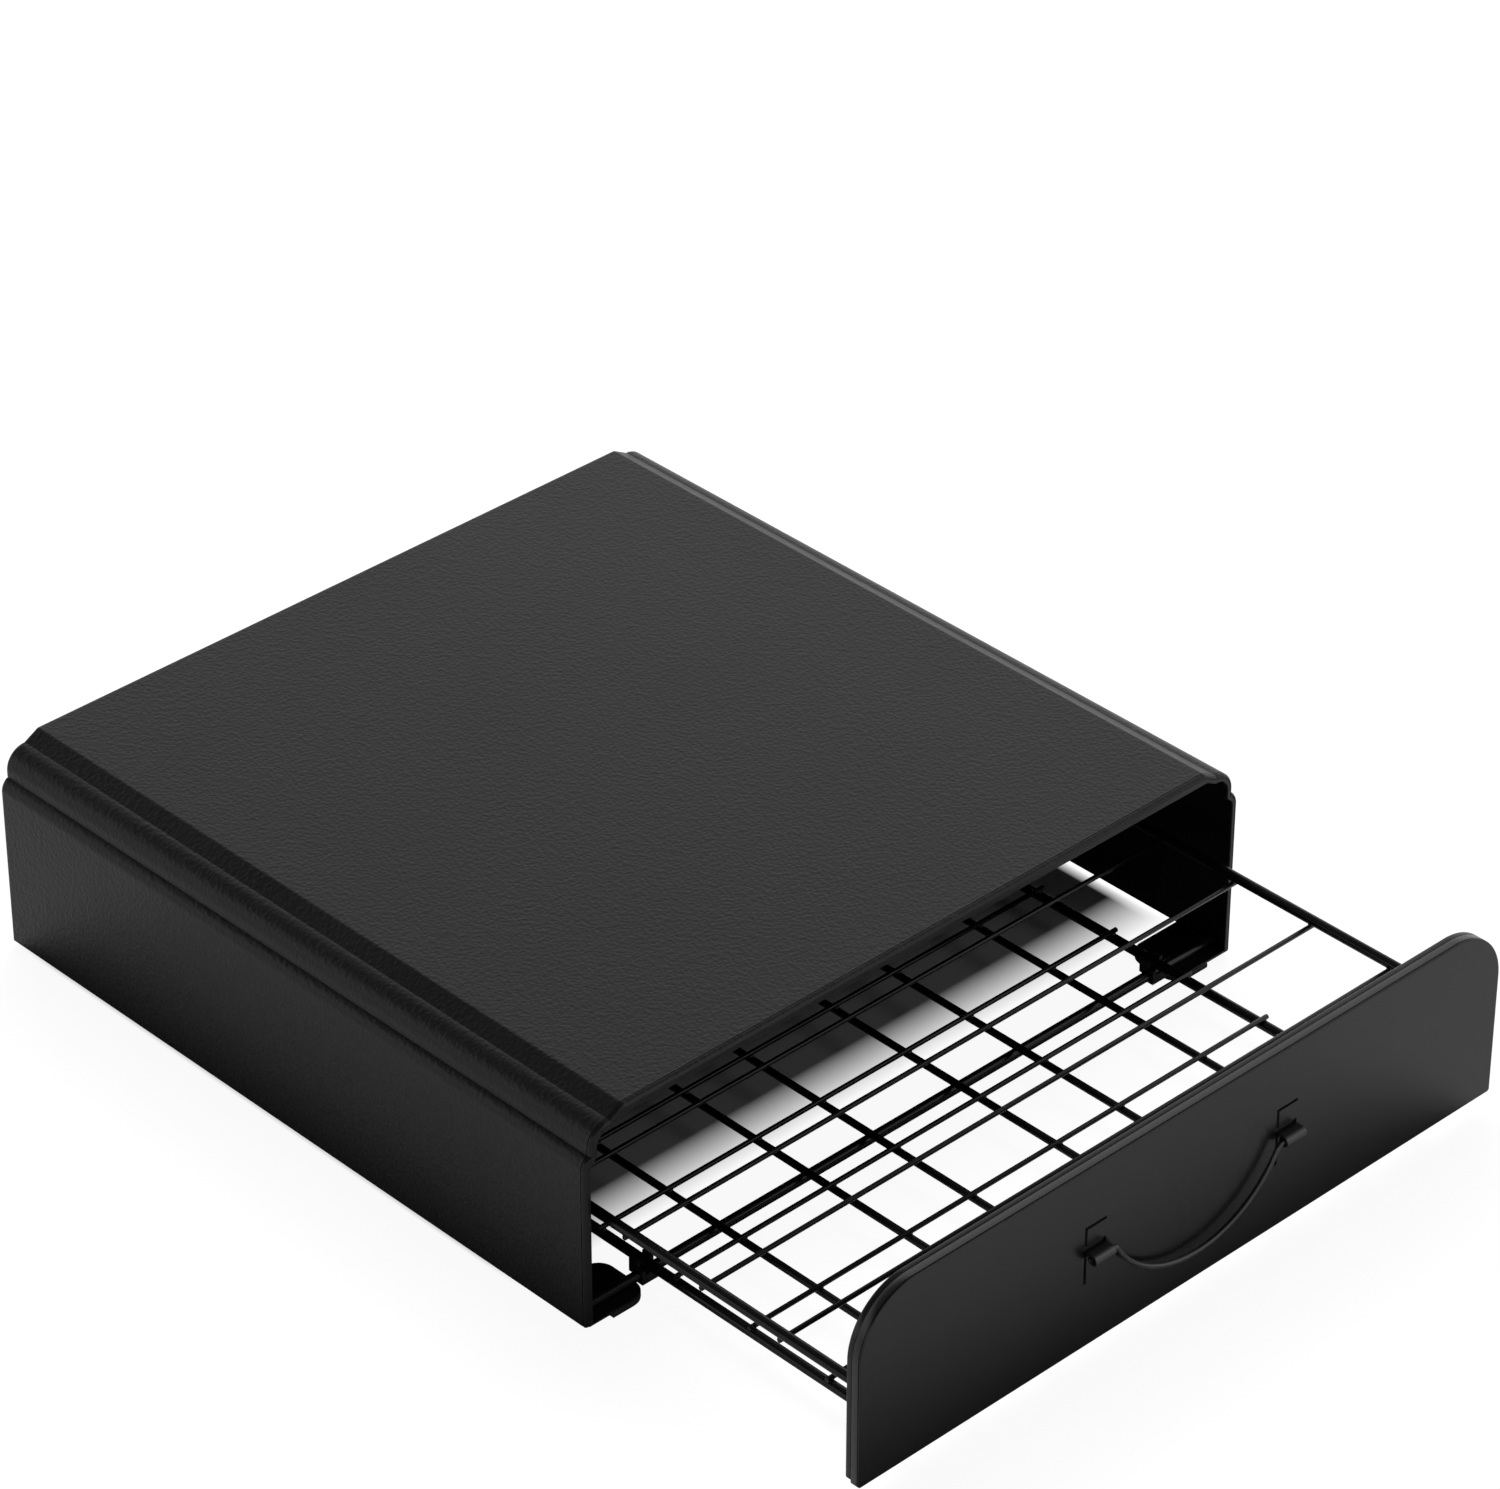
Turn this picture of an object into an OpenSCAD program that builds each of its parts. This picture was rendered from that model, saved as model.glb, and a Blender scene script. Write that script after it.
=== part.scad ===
// Coffee pod drawer: a low counter stand with a two-level wire drawer, drawn with the drawer part open.
// Units are millimetres. +X is to the right along the front, +Y to the back, +Z up.
// Z = 0 is the counter. The origin is under the middle of the whole object as drawn.
// Heights called "over the side edge" are measured from the bottom edge of the side walls.

/* [Housing shell] */
// Width over the side walls
housing_width = 330; // [310:1:360]
// Depth from the front edge to the back edge
housing_depth = 324; // [300:1:350]
// Height of the top plate over the side edge
shell_height = 88.3; // [86:0.1:94]
// Thickness of the folded sheet
sheet = 1.2; // [1:0.1:1.3]
// How far the top of the side wall's rounding lies below the top plate
shoulder_drop = 14.2;
// How far the bead stands in from the side wall
bead_inset = 3.1;
// Radius of the side wall's rounding under the bead
side_edge_r = 6.5;
// Radius of the large bead along each shoulder
bead_r = 9;
// How far the bead's crest lies below the top plate
bead_drop = 3.6;
// How far the flat of the top plate stands in from the side wall, before its edge is rounded
plate_inset = 18.7; // [17.5:0.1:24]
// Radius between the top plate and its sloping edge
plate_edge_r = 2.5; // [1:0.1:4]
// Slope of the top plate's edge, in degrees, down to the bead
plate_slope = 29; // [26:1:34]

/* [Front rim and rear panel] */
// Width of the rim seen at the sides
rim_width = 3; // [2.8:0.1:3.2]
// Width of the rim seen along the top
rim_top_width = 4;
// Depth of the rim strip, front to back
rim_depth = 1.4; // [1:0.1:3]
// Gap between the side edge and the rear panel's bottom edge
rear_panel_lift = 8;

/* [Feet] */
// Height of each rubber foot
foot_height = 2.4; // [2:0.1:6]
// Reach of each foot tab from the side wall's outer face
tab_reach = 29.5;
// Length of each foot tab, front to back
tab_length = 25.8;
// Distance from the housing's edge to the tab
tab_setback = 0.2;
// Corner radius of the tabs and feet
tab_corner_r = 7;
// Thickness of the tabs
tab_sheet = 1.2;
// Distance from the side wall's outer face to the foot
foot_inset = 12.5;

/* [Cross rods and guides] */
// Diameter of the thick rods of housing and drawer
rod_d = 4; // [3.8:0.1:4]
// Front cross rod, centre behind the front edge
front_rod_setback = 7.3;
// Middle cross rod, centre behind the front edge
middle_rod_setback = 160; // [120:1:180]
// Rear cross rod, centre before the back edge
rear_rod_setback = 21;
// Thickness of a guide's cheeks
guide_wall = 1.6;
// Length of a guide's cheeks behind the cross rod's centre
guide_length = 4.2;
// Height of a guide's cheeks over the cross rod's top
guide_cheek = 3.8;
// Wall of a guide below and around its cross rod
guide_wrap = 0.9;
// Sliding clearance between drawer and guides
guide_clearance = 0.4;
// Running gap between a drawer rod and the cross rod under it
rod_gap = 0.3; // [0.3:0.05:0.4]

/* [Drawer front] */
// How far the drawer is open as drawn
drawer_open = 131; // [0:1:200]
// Gap between the drawer front and the rim at each side, with the drawer shut
panel_side_gap = 0.4;
// Bottom of the drawer front over the side edge
panel_bottom = 6.3;
// Gap between the drawer front and the rim above it, with the drawer shut
panel_top_gap = 0.5;
// Radius of the drawer front's top corners
panel_corner_r = 25.5; // [24:0.5:30]
// Radius of the drawer front's rounded edge and bottom corners
panel_edge_r = 1.2; // [1.2:0.1:2]
// Thickness of the sheet of the drawer front
panel_sheet = 1; // [0.8:0.1:1.2]
// Depth of the front pan
pan_depth = 4; // [3.5:0.1:4]
// Depth of the backing behind it
backing_depth = 2.5;
// How far the backing's bottom stands above the pan's bottom
backing_lift = 1.3;

/* [Handle] */
// Height of the handle's axis over the side edge
loop_height = 46.4; // [44:0.1:50]
// Stand-off of the handle's axis from the drawer front
loop_standoff = 3.1; // [3:0.1:4]
// Clear distance between the two loops
loop_spacing = 87; // [80:1:96]
// Length of each loop
loop_length = 10;
// Outer diameter of each loop
loop_d = 4.4;
// Diameter of the bail wire
bail_d = 2;
// Radial play of the bail wire in its loops
bail_play = 0.05; // [0.03:0.01:0.08]
// Drop from the axis to the lowest centre of the bail
bail_drop = 25; // [20:0.5:28]
// Bend radius where the bail leaves a loop
bail_bend_r = 2.5;
// Gap from the end of a loop to the start of the bail's bend
bail_end_gap = 0.5;
// Length of the bail's straight stretch between its arc and each end bend
bail_leg = 2; // [1:0.5:6]
// Width of the cut lines beside each loop
slit_width = 1.3;
// Reach of the cut lines above and below the axis
slit_reach = 12;
// Height of the window over each loop's axis
window_height = 4;

/* [Wire basket] */
// Diameter of the cross wires
wire_d = 2; // [1.8:0.1:2.2]
// Diameter of the row support wires and posts
support_d = 3;
// Distance from the side wall's outer face to the upper side rod
upper_rod_inset = 10.4; // [10:0.1:12]
// Height of the upper side rods over the side edge
upper_rod_height = 43.5; // [40:0.5:46]
// Number of bays along the drawer
bay_count = 8; // [7:1:9]
// Number of capsule rows
row_count = 4; // [3:1:4]
// Distance from the side wall's outer face to the middle of the outer row
row_margin = 50.5;
// Half distance between the two wires that carry a row
cradle_half = 16.2;
// Free space behind the basket when the drawer is shut
rear_gap = 7.9;
// How far crossing wires sink into each other where they are welded
weld = 0.05;

/* [Hidden] */
$fn = 48;

half_w = housing_width / 2;
shell_z = foot_height;                       // side edge over the counter
top_z = shell_z + shell_height;
side_height = shell_height - shoulder_drop;
handle_proud = loop_standoff + loop_d / 2;
front_y = (drawer_open + handle_proud - housing_depth) / 2;
back_y = front_y + housing_depth;
rod_r = rod_d / 2;
wire_r = wire_d / 2;
support_r = support_d / 2;

// cross rods
tab_sink = 0.03;
cross_rod_z = shell_z + tab_sheet + rod_r - tab_sink;
cross_rod_len = housing_width - 2 * sheet + 2 * weld;

// drawer front, in place as drawn
panel_y = front_y - drawer_open;             // front face
panel_back_y = panel_y + pan_depth + backing_depth;
panel_half = half_w - rim_width - panel_side_gap;
panel_low_z = shell_z + panel_bottom;
panel_top_z = top_z - rim_top_width - panel_top_gap;
loop_z = shell_z + loop_height;
loop_y = panel_y - loop_standoff;
loop_start = loop_spacing / 2;
bail_land = 0.04;
bail_lap = 0.15;

// basket
upper_x = half_w - upper_rod_inset;
upper_z = shell_z + upper_rod_height;
lower_x = half_w - row_margin + cradle_half;
lower_z = cross_rod_z + rod_r + rod_gap + rod_r;
upper_wire_z = upper_z - rod_r - wire_r + weld;
lower_wire_z = lower_z + rod_r + wire_r - weld;
support_z = lower_wire_z - wire_r - support_r + weld;
level_rod_z = lower_z + 2 * rod_r - weld;     // rods across the ends of the lower level
basket_end_y = panel_y + housing_depth - rear_gap;
rear_rod_y = basket_end_y - rod_r;
bay_pitch = (rear_rod_y - panel_back_y) / bay_count;
row_pitch = (housing_width - 2 * row_margin) / (row_count - 1);
post_y = basket_end_y + support_r - weld;
post_low_z = lower_z - support_r;

// ---------- helpers ----------

// Rod along X, Y or Z from a start point.
module rod_x(d, length) {
    rotate([0, 90, 0]) cylinder(d = d, h = length);
}

module rod_y(d, length) {
    rotate([-90, 0, 0]) cylinder(d = d, h = length);
}

// Stretch a flat XZ shape along +Y by a depth.
module along_y(depth) {
    translate([0, depth, 0]) rotate([90, 0, 0]) linear_extrude(height = depth) children();
}

// A copy on each side of the middle plane.
module both_sides() {
    children();
    mirror([1, 0, 0]) children();
}

// Cross-section of the housing, stepped in by t at the sides and by t_top under the plate.
module arch(t, t_top) {
    side_x = half_w - t;
    side_r = max(side_edge_r - t, 0.3);
    side_z = side_height - side_edge_r;
    bead_z = shell_height - bead_drop - bead_r;
    bead_x = half_w - bead_inset - bead_r;
    flank_x = bead_x + bead_r - t;
    // the bead's flank comes down on the side wall's rounding, or on a shelf beside it
    lap = flank_x - (side_x - side_r);
    shelf_z = side_z + (lap > 0 ? sqrt(side_r * side_r - lap * lap) - 0.05 : side_r);
    plate_r = max(plate_edge_r - t, 0.5);
    plate_z = shell_height - t_top;
    // corner between the flat and its slope, then the centre of its rounding
    plate_x = half_w - plate_inset - t * tan(plate_slope / 2) + (t_top - t) / tan(plate_slope);
    round_x = plate_x - plate_r * tan(plate_slope / 2);
    round_z = plate_z - plate_r;
    slope_end = min(plate_z - (bead_x - plate_x) * tan(plate_slope), bead_z + bead_r - t - 0.3);
    right = [
        [side_x, 0], [side_x, side_z], [side_x - side_r, side_z], [side_x - side_r, shelf_z],
        [flank_x, shelf_z], [flank_x, bead_z],
        [bead_x, bead_z], [bead_x, slope_end],
        [round_x + plate_r * sin(plate_slope), round_z + plate_r * cos(plate_slope)],
        [round_x, round_z], [round_x, plate_z]
    ];
    count = len(right);
    polygon(concat(right, [for (i = [count - 1 : -1 : 0]) [-right[i].x, right[i].y]]));
    for (side = [-1, 1]) {
        translate([side * (side_x - side_r), side_z]) circle(side_r);
        translate([side * bead_x, bead_z]) circle(bead_r - t);
        translate([side * round_x, round_z]) circle(plate_r);
    }
}

// Rounded rectangle of a foot or foot tab: straight at the wall side, round at the inner side.
module ear(reach, length, r) {
    square([reach - r, length]);
    translate([0, r]) square([reach, length - 2 * r]);
    translate([reach - r, r]) circle(r);
    translate([reach - r, length - r]) circle(r);
}

// Place something made for the front left corner at any corner. side is -1 or 1, end is 0 or 1.
module at_corner(side, end) {
    translate([side * half_w, end == 0 ? front_y : back_y, 0])
        scale([-side, end == 0 ? 1 : -1, 1]) children();
}

// Outline of the drawer front, stepped in by t, in X and Z. Its bottom corners have radius low_r.
module panel_outline(t, lift, low_r) {
    r = panel_corner_r - t;
    x = panel_half - t;
    low = panel_low_z + lift;
    high = panel_top_z - t;
    both_sides() {
        translate([x - r, high - r]) circle(r);
        translate([x - low_r, low + low_r]) circle(low_r);
    }
    translate([-x, low + low_r]) square([2 * x, high - low - r - low_r]);
    translate([r - x, high - 2 * r]) square([2 * (x - r), 2 * r]);
    translate([low_r - x, low]) square([2 * (x - low_r), 2 * low_r]);
}

// ---------- housing ----------

module housing_shell() {
    color("#2b2b2d") translate([0, front_y, shell_z]) along_y(housing_depth)
        difference() {
            arch(0, 0);
            arch(sheet, sheet);
        }
}

module front_rim() {
    color("#353537") translate([0, front_y, shell_z]) along_y(rim_depth)
        difference() {
            arch(sheet, sheet);
            arch(rim_width, rim_top_width);
            translate([-half_w, -1]) square([housing_width, 1 + tab_sheet]);
        }
}

module rear_panel() {
    color("#242426") translate([0, back_y - sheet, shell_z]) along_y(sheet)
        intersection() {
            arch(sheet, sheet);
            translate([-half_w, rear_panel_lift]) square([housing_width, shell_height]);
        }
}

module foot_tab(side, end) {
    color("#1d1d1f") at_corner(side, end)
        translate([sheet, tab_setback, shell_z]) linear_extrude(height = tab_sheet)
            ear(tab_reach - sheet, tab_length, tab_corner_r);
}

module rubber_foot(side, end) {
    color("#101010") at_corner(side, end)
        translate([foot_inset, tab_setback, 0]) linear_extrude(height = foot_height)
            ear(tab_reach - foot_inset, tab_length, tab_corner_r);
}

module foot_tab_front_left() { foot_tab(-1, 0); }
module foot_tab_front_right() { foot_tab(1, 0); }
module foot_tab_rear_left() { foot_tab(-1, 1); }
module foot_tab_rear_right() { foot_tab(1, 1); }
module foot_front_left() { rubber_foot(-1, 0); }
module foot_front_right() { rubber_foot(1, 0); }
module foot_rear_left() { rubber_foot(-1, 1); }
module foot_rear_right() { rubber_foot(1, 1); }

module cross_rod(y) {
    color("#161617") translate([-cross_rod_len / 2, y, cross_rod_z]) rod_x(rod_d, cross_rod_len);
}

module front_cross_rod() { cross_rod(front_y + front_rod_setback); }
module middle_cross_rod() { cross_rod(front_y + middle_rod_setback); }
module rear_cross_rod() { cross_rod(back_y - rear_rod_setback); }

// Clip on a cross rod with two cheeks that keep a drawer rod in line.
module guide(side, y) {
    slot = rod_d + 2 * guide_clearance;
    width = slot + 2 * guide_wall;
    wrap_r = rod_r + guide_wrap;
    floor_z = cross_rod_z + rod_r / 2;
    color("#0e0e0f") translate([side * lower_x, y, 0])
        difference() {
            union() {
                translate([-width / 2, -wrap_r, cross_rod_z - wrap_r])
                    cube([width, 2 * wrap_r, 2 * wrap_r]);
                translate([-width / 2, 0, cross_rod_z])
                    cube([width, guide_length, rod_r + guide_cheek]);
            }
            translate([-width, 0, cross_rod_z]) rod_x(rod_d, 2 * width);
            translate([-slot / 2, -wrap_r - 1, floor_z])
                cube([slot, 2 * wrap_r + guide_length + 2, rod_d + guide_cheek]);
        }
}

module guide_front_left() { guide(-1, front_y + front_rod_setback); }
module guide_front_right() { guide(1, front_y + front_rod_setback); }
module guide_middle_left() { guide(-1, front_y + middle_rod_setback); }
module guide_middle_right() { guide(1, front_y + middle_rod_setback); }

// ---------- drawer front ----------

// Pan with a rounded front edge: a full outline behind, a smaller one in front, rounds between.
module pan_block() {
    r = panel_edge_r;
    x = panel_half - r;
    corner = panel_corner_r - r;
    low = panel_low_z + r;
    high = panel_top_z - r;
    translate([0, panel_y + r, 0]) along_y(pan_depth - r) panel_outline(0, 0, r);
    translate([0, panel_y, 0]) along_y(pan_depth) difference() {
        panel_outline(r, r, 0.01);
        translate([-2 * half_w, -1]) square([4 * half_w, 1]);
    }
    translate([-x, panel_y + r, low]) rod_x(2 * r, 2 * x);
    translate([corner - x, panel_y + r, high]) rod_x(2 * r, 2 * (x - corner));
    both_sides() {
        translate([x, panel_y + r, low]) cylinder(r = r, h = high - corner - low);
        translate([x, panel_y + r, low]) sphere(r = r);
        translate([x - corner, panel_y + r, high - corner]) rotate([90, 0, 0])
            rotate_extrude(angle = 90) translate([corner, 0]) circle(r);
    }
}

module loop_cuts(x) {
    height = 2 * slit_reach;
    depth = panel_sheet + 2;
    translate([x - slit_width / 2, panel_y - 1, loop_z - slit_reach]) cube([slit_width, depth, height]);
    translate([x - slit_width / 2, panel_y - 1, loop_z + slit_reach - slit_width / 2])
        cube([loop_length, depth, slit_width]);
    translate([x, panel_y - 1, loop_z]) cube([loop_length, depth, window_height]);
}

module front_panel() {
    color("#2e2e30") difference() {
        pan_block();
        translate([0, panel_y + panel_sheet, 0]) along_y(pan_depth)
            panel_outline(panel_sheet, panel_sheet, panel_edge_r);
        loop_cuts(-loop_start - loop_length);
        loop_cuts(loop_start);
    }
}

module panel_backing() {
    color("#2a2a2c") translate([0, panel_y + pan_depth, 0]) difference() {
        along_y(backing_depth) panel_outline(0, backing_lift, panel_edge_r);
        translate([0, -panel_sheet, 0]) along_y(backing_depth)
            panel_outline(panel_sheet, backing_lift + panel_sheet, panel_edge_r);
    }
}

// Rolled loop: a tube for the bail, a web through the window and a leaf behind the front sheet.
module hinge_loop(x) {
    tube_r = loop_d / 2;
    bore_d = bail_d + bail_land + 2 * bail_play;
    web = tube_r - bore_d / 2;
    leaf_y = panel_y + panel_sheet;
    color("#2e2e30") difference() {
        union() {
            translate([x, loop_y, loop_z]) rod_x(loop_d, loop_length);
            translate([x, loop_y, loop_z + tube_r - web])
                cube([loop_length, leaf_y + panel_sheet - loop_y, web]);
            translate([x, leaf_y, loop_z + tube_r - web])
                cube([loop_length, panel_sheet, slit_reach - tube_r]);
        }
        translate([x - 1, loop_y, loop_z]) rod_x(bore_d, loop_length + 2);
    }
}

module hinge_loop_left() { hinge_loop(-loop_start - loop_length); }
module hinge_loop_right() { hinge_loop(loop_start); }

// ---------- handle ----------

// Part of a ring of wire in the plane of the bail, from one angle over a sweep.
module wire_bend(x, z, r, start, sweep) {
    translate([x, loop_y, z]) rotate([90, 0, 0]) rotate([0, 0, start])
        rotate_extrude(angle = sweep) translate([r, 0]) circle(d = bail_d);
}

// Straight stretch of the bail, a touch thicker than its bends and lapping over both of them.
module bail_straight(x, z, angle, length) {
    translate([x, loop_y, z]) rotate([0, 90 - angle, 0]) translate([0, 0, -bail_lap])
        cylinder(d = bail_d + bail_land, h = length + 2 * bail_lap);
}

module bail_handle() {
    bend_x = loop_start - bail_end_gap;
    slope = bail_drop / (bend_x + bail_leg);     // tangent of half the bail's half angle
    half_angle = 2 * atan(slope);
    arc_r = (bend_x * (1 + pow(slope, 2)) - bail_leg * (1 - pow(slope, 2))) / (2 * slope) - bail_bend_r;
    arc_z = loop_z - bail_drop + arc_r;
    color("#232324") {
        wire_bend(0, arc_z, arc_r, 270 - half_angle, 2 * half_angle);
        both_sides() {
            wire_bend(bend_x, loop_z - bail_bend_r, bail_bend_r, 90, half_angle);
            bail_straight(arc_r * sin(half_angle), arc_z - arc_r * cos(half_angle), half_angle, bail_leg);
            bail_straight(bend_x, loop_z, 0, loop_length + bail_end_gap);
        }
    }
}

// ---------- wire basket ----------

module side_rod(x, z, end_y) {
    color("#141415") translate([x, panel_back_y - weld, z]) rod_y(rod_d, end_y - panel_back_y + weld);
}

module upper_side_rod_left() { side_rod(-upper_x, upper_z, rear_rod_y - rod_r + weld); }
module upper_side_rod_right() { side_rod(upper_x, upper_z, rear_rod_y - rod_r + weld); }
module lower_side_rod_left() { side_rod(-lower_x, lower_z, basket_end_y); }
module lower_side_rod_right() { side_rod(lower_x, lower_z, basket_end_y); }

// Thick rod across an end of one wire level.
module end_rod(half_length, y, z) {
    color("#141415") translate([-half_length, y, z]) rod_x(rod_d, 2 * half_length);
}

module upper_front_rod() {
    end_rod(upper_x - rod_r + weld, panel_back_y + rod_r - weld, upper_z);
}
module upper_rear_rod() { end_rod(upper_x + rod_r, rear_rod_y, upper_z); }
module lower_front_rod() {
    end_rod(lower_x + rod_r, panel_back_y + rod_r - weld, level_rod_z);
}
module lower_rear_rod() { end_rod(lower_x + rod_r, rear_rod_y, level_rod_z); }

module cross_wires(half_length, z) {
    color("#141415") for (bay = [1 : bay_count - 1])
        translate([-half_length, panel_back_y + bay * bay_pitch, z]) rod_x(wire_d, 2 * half_length);
}

module upper_cross_wires() { cross_wires(upper_x + rod_r / 2, upper_wire_z); }
module lower_cross_wires() { cross_wires(lower_x + rod_r, lower_wire_z); }

// Every wire place that carries a row, except the two outer ones.
function inner_wire_x() = [
    for (row = [0 : row_count - 1], s = [-1, 1])
        if (!(row == 0 && s < 0) && !(row == row_count - 1 && s > 0))
            row_margin - half_w + row * row_pitch + s * cradle_half
];

module row_support_wires() {
    color("#141415") for (x = inner_wire_x())
        translate([x, panel_back_y - weld, support_z])
            rod_y(support_d, basket_end_y - panel_back_y + weld);
}

module rear_posts() {
    inner = inner_wire_x();
    mid = len(inner) / 2;
    color("#141415") for (x = [-lower_x, inner[mid - 2], inner[mid + 1], lower_x])
        translate([x, post_y, post_low_z]) cylinder(d = support_d, h = upper_z + rod_r - post_low_z);
}

// ---------- one line per node ----------

housing_shell();
front_rim();
rear_panel();
foot_tab_front_left();
foot_tab_front_right();
foot_tab_rear_left();
foot_tab_rear_right();
foot_front_left();
foot_front_right();
foot_rear_left();
foot_rear_right();
front_cross_rod();
middle_cross_rod();
rear_cross_rod();
guide_front_left();
guide_front_right();
guide_middle_left();
guide_middle_right();
front_panel();
panel_backing();
hinge_loop_left();
hinge_loop_right();
upper_side_rod_left();
upper_side_rod_right();
lower_side_rod_left();
lower_side_rod_right();
upper_front_rod();
upper_rear_rod();
lower_front_rod();
lower_rear_rod();
upper_cross_wires();
lower_cross_wires();
row_support_wires();
rear_posts();
bail_handle();
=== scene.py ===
"""Coffee pod drawer: a low black counter stand with a wire basket drawer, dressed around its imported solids.

Lengths in the making functions are millimetres, as on the bench; put() turns them into metres.
Noise scales, the camera, the lamps and the floor are in metres.
"""

import math

import bmesh
import bpy
from mathutils import Matrix, Vector


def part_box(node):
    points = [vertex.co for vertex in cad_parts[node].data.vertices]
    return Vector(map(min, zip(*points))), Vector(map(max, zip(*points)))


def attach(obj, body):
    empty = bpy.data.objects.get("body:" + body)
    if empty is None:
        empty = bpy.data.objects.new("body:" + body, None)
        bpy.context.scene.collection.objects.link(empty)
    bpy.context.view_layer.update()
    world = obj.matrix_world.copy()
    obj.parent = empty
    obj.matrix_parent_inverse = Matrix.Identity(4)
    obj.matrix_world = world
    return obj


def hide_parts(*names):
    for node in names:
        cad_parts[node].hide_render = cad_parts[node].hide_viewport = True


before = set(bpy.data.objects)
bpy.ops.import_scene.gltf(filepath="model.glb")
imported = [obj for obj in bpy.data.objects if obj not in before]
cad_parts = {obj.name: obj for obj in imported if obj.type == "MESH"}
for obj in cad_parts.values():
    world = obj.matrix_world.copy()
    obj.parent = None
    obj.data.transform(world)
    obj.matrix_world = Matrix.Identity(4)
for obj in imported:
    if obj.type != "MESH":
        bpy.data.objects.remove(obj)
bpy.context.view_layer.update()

MM = 0.001
SIDES = ("left", "right")
ENDS = ("front", "rear")


# ---------- places and sizes in mm, read from the frame where it has them ----------


def corners(node):
    """Lowest and highest corner of a node's box."""
    low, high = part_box(node)
    return low / MM, high / MM


def middle(node):
    """Centre of a node's box."""
    low, high = corners(node)
    return (low + high) / 2


SHELL_LOW, SHELL_HIGH = corners("housing_shell")
HALF_W = SHELL_HIGH.x
SHELL_Z = SHELL_LOW.z
SHELL_H = SHELL_HIGH.z - SHELL_LOW.z
FRONT_Y = SHELL_LOW.y
BACK_Y = SHELL_HIGH.y
SHEET = 1.2

# housing profile: drops under the plate's top, and steps in from the side wall
SHOULDER_DROP = 14.2
SIDE_EDGE_R = 6.5
BEAD_R = 9.0
BEAD_IN = 3.1
BEAD_DROP = 3.6
PLATE_IN = 18.7
PLATE_R = 2.5
PLATE_R_LEAST = 0.4
PLATE_SLOPE = math.radians(29)
NOTCH_R = 0.3
GROOVE_R = 0.5

# fine line in the notch under the bead: how deep, and the share of it across the notch
NOTCH_LINE = 0.5
NOTCH_LINE_SHAPE = (0, 0.9, 1, 1, 0.9, 0)

# housing sheet's edges; the trim in degrees and the ease keep its inner front edge a fine one
CORNER_R = 1.5
FRONT_ROUND_R = 2.0
FRONT_TRIM = 2
FRONT_EASE = 0.12
BACK_ROUND_R = 1.1

# fine score line that runs round a sheet behind its rounded front edge
SCORE_WIDTH = 0.3
SCORE_DEPTH = SCORE_WIDTH * 0.8

# rim and rear panel
RIM_WIDTH = 3.0
RIM_TOP = 4.0
RIM_GAP = 0.12
RIM_SINK = 0.15
RIM_SOFT = 0.25
REAR_GAP = 0.1
REAR_SOFT = 0.2

# feet: layers as (step in, height over the bottom), then as (step in, depth under the top)
EAR_R = 7.0
EAR_STEPS = 10
PLATE_BOTTOM = ((0.3, 0), (0, 0.3))
PLATE_TOP = ((0, 0.35), (0.12, 0.1), (0.4, 0))
PAD_SOLE = ((3.2, 0.35), (2.2, 0.25), (1.6, 0), (0.9, 0), (0.35, 0.15), (0.08, 0.5), (0, 0.9))
PAD_TOP = ((0, 0.2), (0.2, 0))

# drawer front: outline, sheet, and the cuts round the loops
FACE_LOW, FACE_HIGH = corners("front_panel")
FACE_CORNER_R = 25.5
FACE_EDGE_R = 1.2
FACE_EDGE_R_LEAST = 0.15
FACE_FRONT_R = 0.5
FACE_SCORE_GAP = 0.05
FACE_SHEET = 1.0
SLIT = 1.3
SLIT_REACH = 12.0
WINDOW_H = 4.0
CUT_PAST = 1.0
CUT_SKIN = 0.02
CUT_MARGIN = 5.0

# drawer front: rings as (step in, distance from the face or edge that they soften)
FACE_FLAT = (1.2, 0.4)
FACE_BACK_EDGE = ((0, 0.25), (0.08, 0.08), (0.25, 0))
FACE_INNER_EDGE = ((-0.1, 0), (0, 0.2))
FACE_INNER_CORNER = ((0, 0.8), (0.25, 0.25), (0.8, 0))

# backing of the drawer front, with rings of the same kind
BACKING_LOW, BACKING_HIGH = corners("panel_backing")
BACKING_R = 0.6
BACKING_FLAT = 1.0
BACKING_INNER_CORNER = ((0.8, 0), (0.2, 0.2), (0, 0.7))
BACKING_INNER_EDGE = ((0, 0.1), (-0.2, 0.02))
BACKING_OUTER_EDGE = ((0.35, 0.02), (0.12, 0.12), (0, 0.4))

# loops that hold the bail, rolled from strip by a turn in degrees, and dulled behind the drawer front's face
BARREL_D = 4.4
BORE_R = 1.07
LOOP_BEND_R = 0.75
LOOP_TURN = 288
LOOP_SOFT = 0.15
LOOP_SHADE = 0.05
LEAF_FOOT = 1.5
LEAF_TIP = 0.1

# bail: it bends clear of the loops and hangs in one arc between its bends
BAIL_R = middle("bail_handle").y - corners("bail_handle")[0].y
BAIL_BEND_R = 2.5
BAIL_LEG = 2.0
BAIL_CLEAR = 0.5
BAIL_END_SOFT = 0.25
BAIL_TIP = 0.2
BAIL_SHANK = (1.5, 1.0)
BAIL_STEPS = 24

# rods and wires: their ends are softened over a short length
ROD_STEPS = 32
ROD_SOFT = 0.25
ROD_SOFT_MID = ROD_SOFT * 0.3
SAME_ROD = 1.05

# weld beads: half sizes, and how far the bead's centre lies from the wire's
WELD_STEPS = 12
WIRE_WELD = (1.3, 1.2, 0.6)
WIRE_WELD_OFF = 1.0
LOWER_BAR_WELD = (1.6, 1.6, 0.8)
RAIL_WELD = (1.7, 0.8, 1.7)
POST_WELD = (1.4, 0.7, 1.6)
BAR_WELD_OFF = 1.9

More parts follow.
